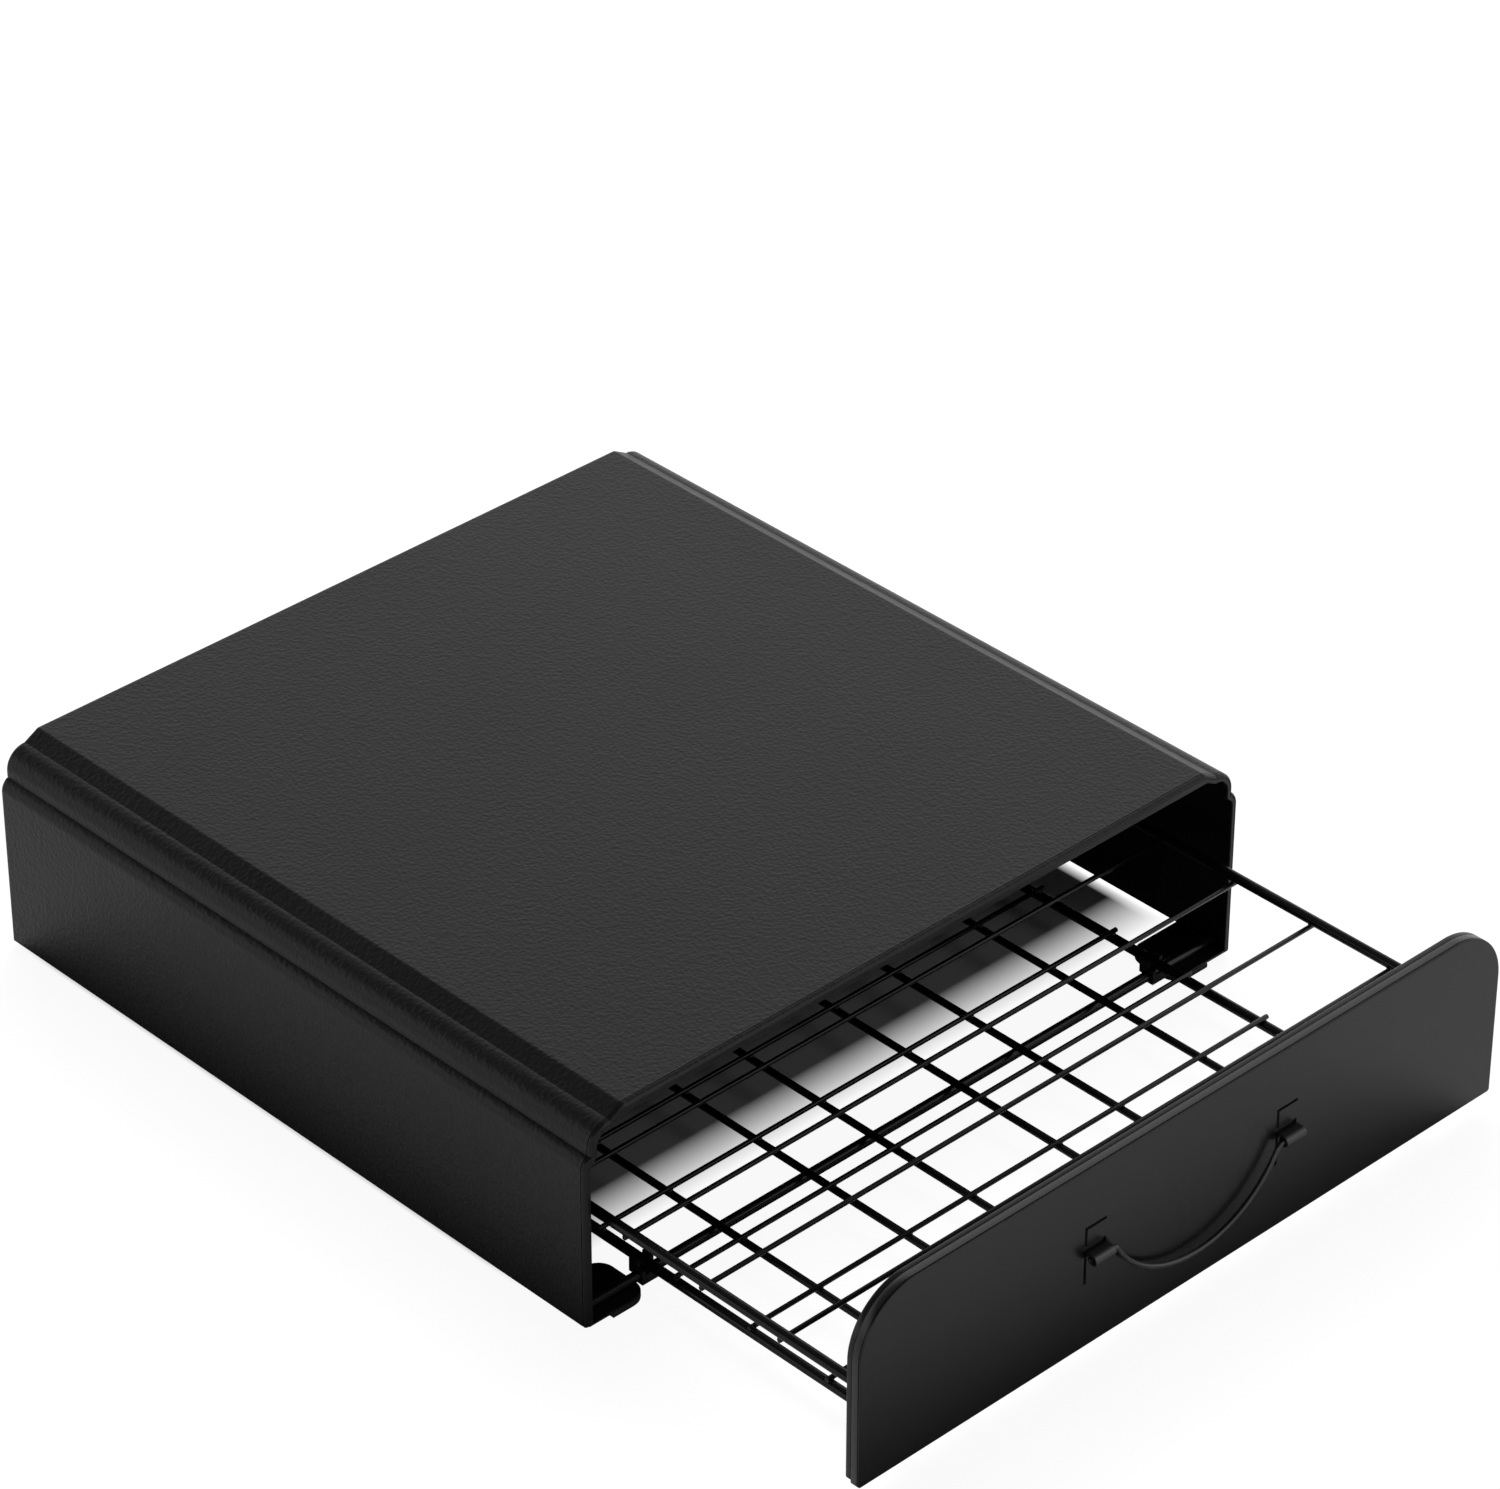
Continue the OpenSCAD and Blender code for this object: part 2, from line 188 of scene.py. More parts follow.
# meshes
SHARP_ANGLE = math.radians(35)
EDGE_TURN = math.radians(110)
MERGE = 1e-5


# ---------- mesh helpers ----------


def mark_edges(mesh):
    """Stores how sharply each vertex stands out, for the coats' rubbed edges, which are lighter: partly wear,
    partly painted highlight.
    """
    bm = bmesh.new()
    bm.from_mesh(mesh)
    wear_and_highlight = mesh.attributes.new("edge", "FLOAT", "POINT")
    for vertex, edge_share in zip(bm.verts, wear_and_highlight.data):
        turn = sum(max(edge.calc_face_angle_signed(0.0), 0.0) for edge in vertex.link_edges)
        edge_share.value = min(turn / EDGE_TURN, 1.0)
    bm.free()


def shade_faces(mesh, hidden):
    """Marks the faces that lie in a cut or behind a sheet, which the coat then dulls."""
    shade = mesh.attributes.new("shade", "FLOAT", "FACE")
    for face, dull in zip(mesh.polygons, shade.data):
        dull.value = 1.0 if hidden(face.center / MM) else 0.0


def put(name, bm, body, material, replaces=()):
    """Turns a bmesh in mm into a piece that rides on a body and takes a slot's finish."""
    bmesh.ops.remove_doubles(bm, verts=bm.verts, dist=MERGE)
    bmesh.ops.recalc_face_normals(bm, faces=bm.faces)
    bmesh.ops.scale(bm, vec=(MM, MM, MM), verts=bm.verts)
    mesh = bpy.data.meshes.new(name)
    bm.to_mesh(mesh)
    bm.free()
    mesh.shade_smooth()
    mesh.set_sharp_from_angle(angle=SHARP_ANGLE)
    mark_edges(mesh)
    piece = bpy.data.objects.new(name, mesh)
    bpy.context.scene.collection.objects.link(piece)
    mesh.materials.append(material)
    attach(piece, body)
    if replaces:
        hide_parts(*replaces)
    return piece


def skin(bm, rings):
    """Quads between neighbouring closed rings of equal length, with flat caps on the ends."""
    made = [[bm.verts.new(point) for point in ring] for ring in rings]
    count = len(made[0])
    for a, b in zip(made, made[1:]):
        for i in range(count):
            j = (i + 1) % count
            bm.faces.new((a[i], a[j], b[j], b[i]))
    bm.faces.new(made[0])
    bm.faces.new(reversed(made[-1]))


def arc(cx, cz, r, start, end, steps):
    """Points on an arc, angles in degrees."""
    turns = [math.radians(start + (end - start) * i / steps) for i in range(steps + 1)]
    return [(cx + r * math.cos(a), cz + r * math.sin(a)) for a in turns]


def quarter(steps):
    """Angles of a quarter turn in even steps, in radians."""
    return [math.radians(90 * i / steps) for i in range(steps + 1)]


def angle_to(a, b):
    """Direction from one point to another, in degrees."""
    return math.degrees(math.atan2(b[1] - a[1], b[0] - a[0]))


# ---------- shader helpers and node groups ----------


def new_group(name, inputs, outputs):
    """A shader node group with named inputs and outputs, and its two end nodes."""
    tree = bpy.data.node_groups.new(name, "ShaderNodeTree")
    for label, kind, value in inputs:
        socket = tree.interface.new_socket(label, in_out="INPUT", socket_type=kind)
        socket.default_value = value
    for label, kind in outputs:
        tree.interface.new_socket(label, in_out="OUTPUT", socket_type=kind)
    return tree, tree.nodes.new("NodeGroupInput"), tree.nodes.new("NodeGroupOutput")


def place_group(tree, group, values):
    """Places a node group in a tree and sets its inputs by name."""
    node = tree.nodes.new("ShaderNodeGroup")
    node.node_tree = group
    for label, value in values.items():
        node.inputs[label].default_value = value
    return node


def feed(tree, socket, value):
    """Links a socket to another node's output, or sets it to a fixed value."""
    if isinstance(value, bpy.types.NodeSocket):
        tree.links.new(value, socket)
    else:
        socket.default_value = value


def math_node(tree, operation, *values, clamp=False):
    node = tree.nodes.new("ShaderNodeMath")
    node.operation = operation
    node.use_clamp = clamp
    for socket, value in zip(node.inputs, values):
        feed(tree, socket, value)
    return node.outputs[0]


def noise_node(tree, vector, scale, detail, roughness=0.55):
    node = tree.nodes.new("ShaderNodeTexNoise")
    inputs = {"Vector": vector, "Scale": scale, "Detail": detail, "Roughness": roughness}
    for label, value in inputs.items():
        feed(tree, node.inputs[label], value)
    return node.outputs["Fac"]


def mix_colours(tree, share, first, second):
    node = tree.nodes.new("ShaderNodeMix")
    node.data_type = "RGBA"
    for socket, value in zip((node.inputs["Factor"], node.inputs[6], node.inputs[7]), (share, first, second)):
        feed(tree, socket, value)
    return node.outputs[2]


WARP_SCALE = 420.0
WARP_REACH = 0.0016
CELL_SMOOTHNESS = 0.6
PEEL_FINENESS = 4.0
DRIFT_SCALE = 14.0
SPECK_SCALE = 900.0
EDGE_RUB_AND_HIGHLIGHT_LEAST = 0.35
DUST_START = 0.45
DUST_COLOUR = (0.35, 0.34, 0.32, 1)
# the rubbed edges' colour is this many times the coat's, lighter at convex edges: partly wear, partly painted
# highlight
WEAR_AND_HIGHLIGHT_GAIN = 2


def build_leather_grain():
    """Pebbled powder coat: soft cells pulled about by noise, over a fine orange peel."""
    tree, gin, gout = new_group(
        "leather_grain",
        [("Cell Scale", "NodeSocketFloat", 700.0), ("Fine Scale", "NodeSocketFloat", 2600.0),
         ("Fine Share", "NodeSocketFloat", 0.3)],
        [("Height", "NodeSocketFloat")],
    )
    coord = tree.nodes.new("ShaderNodeTexCoord")
    warp = tree.nodes.new("ShaderNodeTexNoise")
    tree.links.new(coord.outputs["Object"], warp.inputs["Vector"])
    warp.inputs["Scale"].default_value = WARP_SCALE
    pull = tree.nodes.new("ShaderNodeVectorMath")
    pull.operation = "MULTIPLY_ADD"
    tree.links.new(warp.outputs["Color"], pull.inputs[0])
    pull.inputs[1].default_value = (WARP_REACH, WARP_REACH, WARP_REACH)
    tree.links.new(coord.outputs["Object"], pull.inputs[2])
    cells = tree.nodes.new("ShaderNodeTexVoronoi")
    cells.feature = "SMOOTH_F1"
    cells.inputs["Smoothness"].default_value = CELL_SMOOTHNESS
    tree.links.new(pull.outputs[0], cells.inputs["Vector"])
    tree.links.new(gin.outputs["Cell Scale"], cells.inputs["Scale"])
    fine = noise_node(tree, pull.outputs[0], gin.outputs["Fine Scale"], 2.0)
    fine_part = math_node(tree, "MULTIPLY", fine, gin.outputs["Fine Share"])
    height = math_node(tree, "ADD", cells.outputs["Distance"], fine_part)
    tree.links.new(height, gout.inputs["Height"])
    return tree


def build_orange_peel():
    """Smooth coat with the faint waviness of sprayed powder."""
    tree, gin, gout = new_group(
        "orange_peel",
        [("Scale", "NodeSocketFloat", 500.0), ("Fine Share", "NodeSocketFloat", 0.25)],
        [("Height", "NodeSocketFloat")],
    )
    coord = tree.nodes.new("ShaderNodeTexCoord")
    broad = noise_node(tree, coord.outputs["Object"], gin.outputs["Scale"], 1.5)
    fine_scale = math_node(tree, "MULTIPLY", gin.outputs["Scale"], PEEL_FINENESS)
    fine = noise_node(tree, coord.outputs["Object"], fine_scale, 1.0)
    fine_part = math_node(tree, "MULTIPLY", fine, gin.outputs["Fine Share"])
    tree.links.new(math_node(tree, "ADD", broad, fine_part), gout.inputs["Height"])
    return tree


def build_coat_colour():
    """Colour and roughness that drift a little over the surface, with lighter rubbed edges that are partly
    wear and partly painted highlight, and a trace of dust.
    """
    tree, gin, gout = new_group(
        "coat_colour",
        [("Colour", "NodeSocketColor", (0.02, 0.02, 0.02, 1)),
         ("Wear And Highlight Colour", "NodeSocketColor", (0.05, 0.05, 0.05, 1)),
         ("Wear And Highlight Mask", "NodeSocketFloat", 0.0),
         ("Shade", "NodeSocketFloat", 0.0),
         ("Drift", "NodeSocketFloat", 0.15),
         ("Dust", "NodeSocketFloat", 0.03),
         ("Roughness", "NodeSocketFloat", 0.4),
         ("Roughness Drift", "NodeSocketFloat", 0.06)],
        [("Colour", "NodeSocketColor"), ("Roughness", "NodeSocketFloat")],
    )
    coord = tree.nodes.new("ShaderNodeTexCoord")
    broad = noise_node(tree, coord.outputs["Object"], DRIFT_SCALE, 4.0)
    speck = noise_node(tree, coord.outputs["Object"], SPECK_SCALE, 2.0, 0.7)
    # drift: brighter and darker by a share of the colour
    swing = math_node(tree, "MULTIPLY", math_node(tree, "SUBTRACT", broad, 0.5), 2.0)
    gain = math_node(tree, "ADD", math_node(tree, "MULTIPLY", swing, gin.outputs["Drift"]), 1.0)
    drifted = tree.nodes.new("ShaderNodeVectorMath")
    drifted.operation = "SCALE"
    tree.links.new(gin.outputs["Colour"], drifted.inputs[0])
    tree.links.new(gain, drifted.inputs["Scale"])
    # rubbed edges, broken up by the fine specks: lighter at convex edges, partly wear and partly painted
    # highlight
    rub_and_highlight = math_node(tree, "ADD", speck, EDGE_RUB_AND_HIGHLIGHT_LEAST)
    wear_and_highlight = math_node(tree, "MULTIPLY", gin.outputs["Wear And Highlight Mask"], rub_and_highlight, clamp=True)
    rubbed_and_highlit = mix_colours(tree, wear_and_highlight, drifted.outputs[0], gin.outputs["Wear And Highlight Colour"])
    # a trace of dust where the noise runs high
    high = math_node(tree, "SUBTRACT", speck, DUST_START, clamp=True)
    haze = math_node(tree, "MULTIPLY", high, gin.outputs["Dust"])
    tree.links.new(mix_colours(tree, haze, rubbed_and_highlit, DUST_COLOUR), gout.inputs["Colour"])
    rough_swing = math_node(tree, "MULTIPLY", swing, gin.outputs["Roughness Drift"])
    rough = math_node(tree, "ADD", gin.outputs["Roughness"], rough_swing)
    tree.links.new(math_node(tree, "MAXIMUM", rough, gin.outputs["Shade"]), gout.inputs["Roughness"])
    return tree


LEATHER = build_leather_grain()
PEEL = build_orange_peel()
COAT = build_coat_colour()


# ---------- materials ----------


def coated(name, colour, rough, grain, grain_values, bump, depth, drift=0.15, dust=0.03, specular=0.5):
    """A coated surface: drifting colour, lighter rubbed edges that are partly wear and partly painted
    highlight, and a bump from one of the grain groups.
    """
    material = bpy.data.materials.new(name)
    material.use_nodes = True
    tree = material.node_tree
    shader = tree.nodes["Principled BSDF"]
    wear_and_highlight = [c * WEAR_AND_HIGHLIGHT_GAIN for c in colour]
    paint = place_group(tree, COAT, {"Colour": (*colour, 1), "Wear And Highlight Colour": (*wear_and_highlight, 1),
                                     "Drift": drift, "Dust": dust, "Roughness": rough})
    for attribute, label in (("edge", "Wear And Highlight Mask"), ("shade", "Shade")):
        mask = tree.nodes.new("ShaderNodeAttribute")
        mask.attribute_name = attribute
        tree.links.new(mask.outputs["Fac"], paint.inputs[label])
    tree.links.new(paint.outputs["Colour"], shader.inputs["Base Color"])
    tree.links.new(paint.outputs["Roughness"], shader.inputs["Roughness"])
    relief = place_group(tree, grain, grain_values)
    bumper = tree.nodes.new("ShaderNodeBump")
    bumper.inputs["Strength"].default_value = bump
    bumper.inputs["Distance"].default_value = depth
    tree.links.new(relief.outputs["Height"], bumper.inputs["Height"])
    tree.links.new(bumper.outputs["Normal"], shader.inputs["Normal"])
    shader.inputs["Specular IOR Level"].default_value = specular
    return material


BLACK = (0.0060, 0.0060, 0.0063)
WIRE_BLACK = (0.0045, 0.0045, 0.0047)
PLASTIC_BLACK = (0.009, 0.009, 0.009)
RUBBER_BLACK = (0.010, 0.010, 0.010)

HOUSING_COAT = coated("leather_grain_black", BLACK, rough=0.36, grain=LEATHER,
                      grain_values={"Cell Scale": 620.0}, bump=0.45, depth=0.0003,
                      drift=0.2, dust=0.015, specular=0.28)
RIM_COAT = coated("satin_black_rim", BLACK, rough=0.34, grain=PEEL, grain_values={"Scale": 420.0},
                  bump=0.10, depth=0.0002, specular=0.28)
FACE_COAT = coated("smooth_satin_black", BLACK, rough=0.26, grain=PEEL, grain_values={"Scale": 380.0},
                   bump=0.05, depth=0.0002, dust=0.01, specular=0.4)
WIRE_COAT = coated("dipped_black_wire", WIRE_BLACK, rough=0.24, grain=PEEL, grain_values={"Scale": 300.0},
                   bump=0.06, depth=0.0002, dust=0.01, specular=0.3)
BAIL_COAT = coated("bail_black", BLACK, rough=0.34, grain=PEEL, grain_values={"Scale": 420.0},
                   bump=0.06, depth=0.0002, dust=0.01, specular=0.75)
GUIDE_PLASTIC = coated("moulded_black_plastic", PLASTIC_BLACK, rough=0.45, grain=PEEL,
                       grain_values={"Scale": 700.0}, bump=0.15, depth=0.0001)
FOOT_RUBBER = coated("black_rubber", RUBBER_BLACK, rough=0.6, grain=LEATHER,
                     grain_values={"Cell Scale": 1500.0, "Fine Scale": 4000.0},
                     bump=0.2, depth=0.0001, dust=0.05)


# ---------- housing ----------

# centres of the side's rounding and of the bead, over the side wall's bottom edge
SIDE = (HALF_W - SIDE_EDGE_R, SHELL_H - SHOULDER_DROP - SIDE_EDGE_R)
BEAD = (HALF_W - BEAD_IN - BEAD_R, SHELL_H - BEAD_DROP - BEAD_R)


def notch_centre():
    """Centre of the fillet that touches the side's rounding and the bead's upright flank."""
    x = HALF_W - BEAD_IN + NOTCH_R
    return x, SIDE[1] + math.sqrt((SIDE_EDGE_R + NOTCH_R) ** 2 - (x - SIDE[0]) ** 2)


def groove_centre():
    """Centre of the fillet that touches the bead's circle and the plate's slope from outside."""
    reach = BEAD_R + GROOVE_R
    fall = math.tan(PLATE_SLOPE)
    corner = HALF_W - PLATE_IN
    rise = SHELL_H + GROOVE_R / math.cos(PLATE_SLOPE) - (BEAD[0] - corner) * fall - BEAD[1]
    root = math.sqrt((rise * fall) ** 2 - (1 + fall ** 2) * (rise ** 2 - reach ** 2))
    step = (rise * fall - root) / (1 + fall ** 2)
    return BEAD[0] + step, BEAD[1] + rise - step * fall


NOTCH = notch_centre()
GROOVE = groove_centre()


def housing_profile(t, t_top=None):
    """Right half of the housing's profile, from the side's foot to the plate's flat.

    It is stepped in by t, and by t_top under the plate."""
    t_top = t if t_top is None else t_top
    plate_r = max(PLATE_R - t, PLATE_R_LEAST)
    plate_x = HALF_W - PLATE_IN - t * math.tan(PLATE_SLOPE / 2) + (t_top - t) / math.tan(PLATE_SLOPE)
    plate = (plate_x - plate_r * math.tan(PLATE_SLOPE / 2), SHELL_H - t_top - plate_r)
    slope = math.degrees(PLATE_SLOPE)
    to_groove = angle_to(BEAD, GROOVE)
    to_notch = angle_to(SIDE, NOTCH)
    points = [(HALF_W - t, SIDE[1] * share) for share in (0.0, 0.25, 0.5, 0.75)]
    points += arc(*SIDE, SIDE_EDGE_R - t, 0, to_notch, steps=10)
    # the notch, with a fine line in it that fades out towards the sheet's inner face
    line_depth = NOTCH_LINE * max(1 - t / SHEET, 0)
    last = len(NOTCH_LINE_SHAPE) - 1
    for i, share in enumerate(NOTCH_LINE_SHAPE):
        a = math.radians(to_notch + 180 - to_notch * i / last)
        q = NOTCH_R + t + line_depth * share
        points.append((NOTCH[0] + q * math.cos(a), NOTCH[1] + q * math.sin(a)))
    points += arc(*BEAD, BEAD_R - t, 0, to_groove, steps=22)
    points += arc(*GROOVE, GROOVE_R + t, to_groove + 180, 270 - slope, steps=6)
    points += arc(*plate, plate_r, 90 - slope, 90, steps=6)
    return points


def whole_profile(t, t_top=None):
    right = housing_profile(t, t_top)
    return right + [(-x, z) for x, z in reversed(right)]


def sweep_arch(section, foot):
    """Sweeps a closed section of (t, t_top, y) stations along the housing's profile.

    foot(y) gives how far the side's bottom end stands up at a depth y from the front."""
    columns = []
    for t, t_top, y in section:
        lift = foot(y)
        columns.append([(x, FRONT_Y + y, SHELL_Z + max(z, lift)) for x, z in whole_profile(t, t_top)])
    bm = bmesh.new()
    skin(bm, list(zip(*columns)))
    return bm


def foot_rise(y):
    """The side wall's lower front corner is rounded."""
    return 0.0 if y >= CORNER_R else CORNER_R - math.sqrt(CORNER_R ** 2 - (CORNER_R - y) ** 2)


def score_line(start, flank):
    """Stations of the score line as (step in, depth), with flanks that take up a little depth."""
    end = start + SCORE_WIDTH
    return [(SCORE_DEPTH, start + flank), (SCORE_DEPTH, end), (0, end + flank)]


def make_housing():
    """The folded sheet: round its front edge, along its outside, round its back edge and along its inside."""
    depth = BACK_Y - FRONT_Y
    lip = FRONT_ROUND_R
    start = math.degrees(math.asin(1 - SHEET / lip)) + FRONT_TRIM
    thirds = [depth / 3, depth * 2 / 3]
    outside = (lip + 1.0, lip + 2.0, *thirds, depth - 3.0, depth - 2.0)
    inside = (depth - 0.2, depth - 2.0, depth - 3.0, *reversed(thirds), lip + 2.0, lip + 0.5)
    line = [(lip - q, lip - r) for r, q in arc(0, 0, lip, start, 90, steps=9)]
    line += score_line(lip, flank=0.1)
    line += [(0, y) for y in outside]
    line += [(BACK_ROUND_R - q, depth - BACK_ROUND_R + r) for q, r in arc(0, 0, BACK_ROUND_R, 0, 90, steps=6)]
    line += [(SHEET, y) for y in inside]
    line.append((SHEET, lip - (lip * math.cos(math.radians(start)) - FRONT_EASE)))
    bm = sweep_arch([(inset, inset, y) for inset, y in line], foot_rise)
    put("housing_sheet", bm, "housing", HOUSING_COAT, ["housing_shell"])


def make_rim():
    low, high = corners("front_rim")
    lift = low.z - SHELL_Z
    back = high.y - FRONT_Y
    outer, inner, top, soft = SHEET + RIM_GAP, RIM_WIDTH, RIM_TOP, RIM_SOFT
    section = [
        (outer + soft, outer + soft, RIM_SINK), (outer, outer, RIM_SINK + soft), (outer, outer, back),
        (inner, top, back), (inner, top, RIM_SINK + soft), (inner - soft, top - soft, RIM_SINK),
    ]
    bm = sweep_arch(section, lambda y: lift)
    put("rim_flange", bm, "housing", RIM_COAT, ["front_rim"])


def make_rear_panel():
    low, high = corners("rear_panel")
    lift = low.z - SHELL_Z
    soft = REAR_SOFT
    rings = []
    for extra, y in ((soft, high.y), (0, high.y - soft), (0, low.y + soft), (soft, low.y)):
        line = whole_profile(SHEET + REAR_GAP + extra)
        rings.append([(x, y, SHELL_Z + max(z, lift + extra)) for x, z in line])
    bm = bmesh.new()
    skin(bm, rings)
    put("rear_sheet", bm, "housing", HOUSING_COAT, ["rear_panel"])


# ---------- feet ----------


def ear_outline(low, high, inset):
    """Outline of a foot in X and Y: square at the wall that it is next to, round towards the middle."""
    on_left = low.x + high.x < 0
    x_wall, x_in, inwards = (low.x, high.x, 1) if on_left else (high.x, low.x, -1)
    q = EAR_R - inset
    centre_x = x_in - inwards * EAR_R
    points = [(x_wall + inwards * inset, low.y + inset)]
    points += [(centre_x + inwards * q * math.cos(a), low.y + EAR_R + q * math.sin(a))
               for a in [math.radians(-90 + 90 * i / EAR_STEPS) for i in range(EAR_STEPS + 1)]]
    points += [(centre_x + inwards * q * math.cos(a), high.y - EAR_R + q * math.sin(a))
               for a in quarter(EAR_STEPS)]
    points += [(x_wall + inwards * inset, high.y - inset)]
    return points


def make_foot(node, name, material, bottom, top):
    low, high = corners(node)
    layers = [(inset, low.z + rise) for inset, rise in bottom]
    layers += [(inset, high.z - drop) for inset, drop in top]
    bm = bmesh.new()
    skin(bm, [[(x, y, z) for x, y in ear_outline(low, high, inset)] for inset, z in layers])
    put(name, bm, "housing", material, [node])


def make_feet():
    """An ear of sheet in each corner, with a rubber pad under it that has a shallow dished sole."""
    for end in ENDS:
        for side in SIDES:
            make_foot(f"foot_tab_{end}_{side}", f"foot_plate_{end}_{side}", HOUSING_COAT,
                      PLATE_BOTTOM, PLATE_TOP)
            make_foot(f"foot_{end}_{side}", f"rubber_pad_{end}_{side}", FOOT_RUBBER,
                      PAD_SOLE, PAD_TOP)


# ---------- drawer front ----------


def face_outline(inset, lift=0.0):
    """Outline of the drawer front in X and Z, stepped in by inset, as a closed loop."""
    x0, x1 = FACE_LOW.x, FACE_HIGH.x
    z0, z1 = FACE_LOW.z + lift, FACE_HIGH.z
    big = FACE_CORNER_R
    small = max(FACE_EDGE_R - inset, FACE_EDGE_R_LEAST)
    points = arc(x1 - inset - small, z0 + inset + small, small, -90, 0, steps=5)
    points += arc(x1 - big, z1 - big, big - inset, 0, 90, steps=24)
    points += arc(x0 + big, z1 - big, big - inset, 90, 180, steps=24)
    points += arc(x0 + inset + small, z0 + inset + small, small, 180, 270, steps=5)
    return points


def face_skin(layers, lift=0.0):
    """A closed shape in the drawer front's outline, from (step in, y) layers."""
    bm = bmesh.new()
    skin(bm, [[(x, y, z) for x, z in face_outline(inset, lift)] for inset, y in layers])
    return bm


def box_cutter(low, high):
    bm = bmesh.new()
    bmesh.ops.create_cube(bm, size=1.0)
    size = [h - l for l, h in zip(low, high)]
    centre = [(h + l) / 2 for l, h in zip(low, high)]
    bmesh.ops.scale(bm, vec=size, verts=bm.verts)
    bmesh.ops.translate(bm, vec=centre, verts=bm.verts)
    bmesh.ops.scale(bm, vec=(MM, MM, MM), verts=bm.verts)
    mesh = bpy.data.meshes.new("cutter")
    bm.to_mesh(mesh)
    bm.free()
    cutter = bpy.data.objects.new("cutter", mesh)
    bpy.context.scene.collection.objects.link(cutter)
    return cutter


def cut(piece, cutters):
    """Subtracts each cutter for good and deletes it."""
    for cutter in cutters:
        step = piece.modifiers.new("cut", "BOOLEAN")
        step.operation = "DIFFERENCE"
        step.solver = "EXACT"
        step.object = cutter
        bpy.context.view_layer.update()
        depsgraph = bpy.context.evaluated_depsgraph_get()
        mesh = bpy.data.meshes.new_from_object(piece.evaluated_get(depsgraph))
        piece.modifiers.clear()
        old = piece.data
        piece.data = mesh
        bpy.data.meshes.remove(old)
        bpy.data.objects.remove(cutter)


def loop_cutters():
    """The cut lines and the window by each loop, right through the front sheet."""
    y0, y1 = FACE_LOW.y - CUT_PAST, FACE_LOW.y + FACE_SHEET + CUT_PAST
    cutters = []
    for side in SIDES:
        low, high = corners(f"hinge_loop_{side}")
        x = low.x
        axis_z = low.z + BARREL_D / 2
        slit_z = axis_z + SLIT_REACH
        spans = (
            ((x - SLIT / 2, axis_z - SLIT_REACH), (x + SLIT / 2, slit_z)),
            ((x - SLIT / 2, slit_z - SLIT / 2), (high.x, slit_z + SLIT / 2)),
            ((x, axis_z), (high.x, axis_z + WINDOW_H)),
        )
        cutters += [box_cutter((x0, y0, z0), (x1, y1, z1)) for (x0, z0), (x1, z1) in spans]
    return cutters


def make_face():
    """The pressed pan: flat front, rounded edge with a score line, back edge, and its inside."""
    r, s = FACE_FRONT_R, FACE_SHEET
    y0, y1 = FACE_LOW.y, FACE_HIGH.y
    layers = [(r + step, y0) for step in FACE_FLAT]
    layers += [(r * (1 - math.sin(a)), y0 + r * (1 - math.cos(a))) for a in quarter(5)]
    layers += score_line(y0 + r + FACE_SCORE_GAP, flank=0.08)
    layers += [(step, y1 - off) for step, off in FACE_BACK_EDGE]
    layers += [(s + step, y1 - off) for step, off in FACE_INNER_EDGE]
    layers += [(s + step, y0 + s + off) for step, off in FACE_INNER_CORNER]
    piece = put("drawer_face", face_skin(layers), "drawer", FACE_COAT, ["front_panel"])
    cut(piece, loop_cutters())
    mesh = piece.data
    mesh.set_sharp_from_angle(angle=SHARP_ANGLE)
    mesh.attributes.remove(mesh.attributes["edge"])
    mark_edges(mesh)
    cut_z = middle("hinge_loop_left").z
    flat_x = abs(FACE_LOW.x) - FACE_CORNER_R
    shade_faces(mesh, lambda c: CUT_SKIN < c.y - y0 < s - CUT_SKIN and abs(c.x) < flat_x
                and abs(c.z - cut_z) < SLIT_REACH + CUT_MARGIN)


def make_backing():
    """The rim behind the drawer front, with a rounded back edge."""
    r, s = BACKING_R, FACE_SHEET
    y0, y1 = BACKING_LOW.y, BACKING_HIGH.y
    layers = [(s + step, y1 - s - off) for step, off in BACKING_INNER_CORNER]
    layers += [(s + step, y0 + off) for step, off in BACKING_INNER_EDGE]
    layers += [(step, y0 + off) for step, off in BACKING_OUTER_EDGE]
    layers += [(r * (1 - math.cos(a)), y1 - r + r * math.sin(a)) for a in quarter(6)]
    layers += [(r + BACKING_FLAT, y1)]
    bm = face_skin(layers, BACKING_LOW.z - FACE_LOW.z)
    put("face_backing", bm, "drawer", FACE_COAT, ["panel_backing"])


# ---------- bail and its loops ----------


def strip_section(path, thick):
    """Closed outline of a strip of sheet whose middle line is a list of (y, z) points."""
    left, right = [], []
    for i, p in enumerate(path):
        a = Vector(path[max(i - 1, 0)])
        b = Vector(path[min(i + 1, len(path) - 1)])
        d = (b - a).normalized()
        n = Vector((-d.y, d.x)) * thick / 2
        left.append((p[0] + n.x, p[1] + n.y))
        right.append((p[0] - n.x, p[1] - n.y))
    return left + right[::-1]


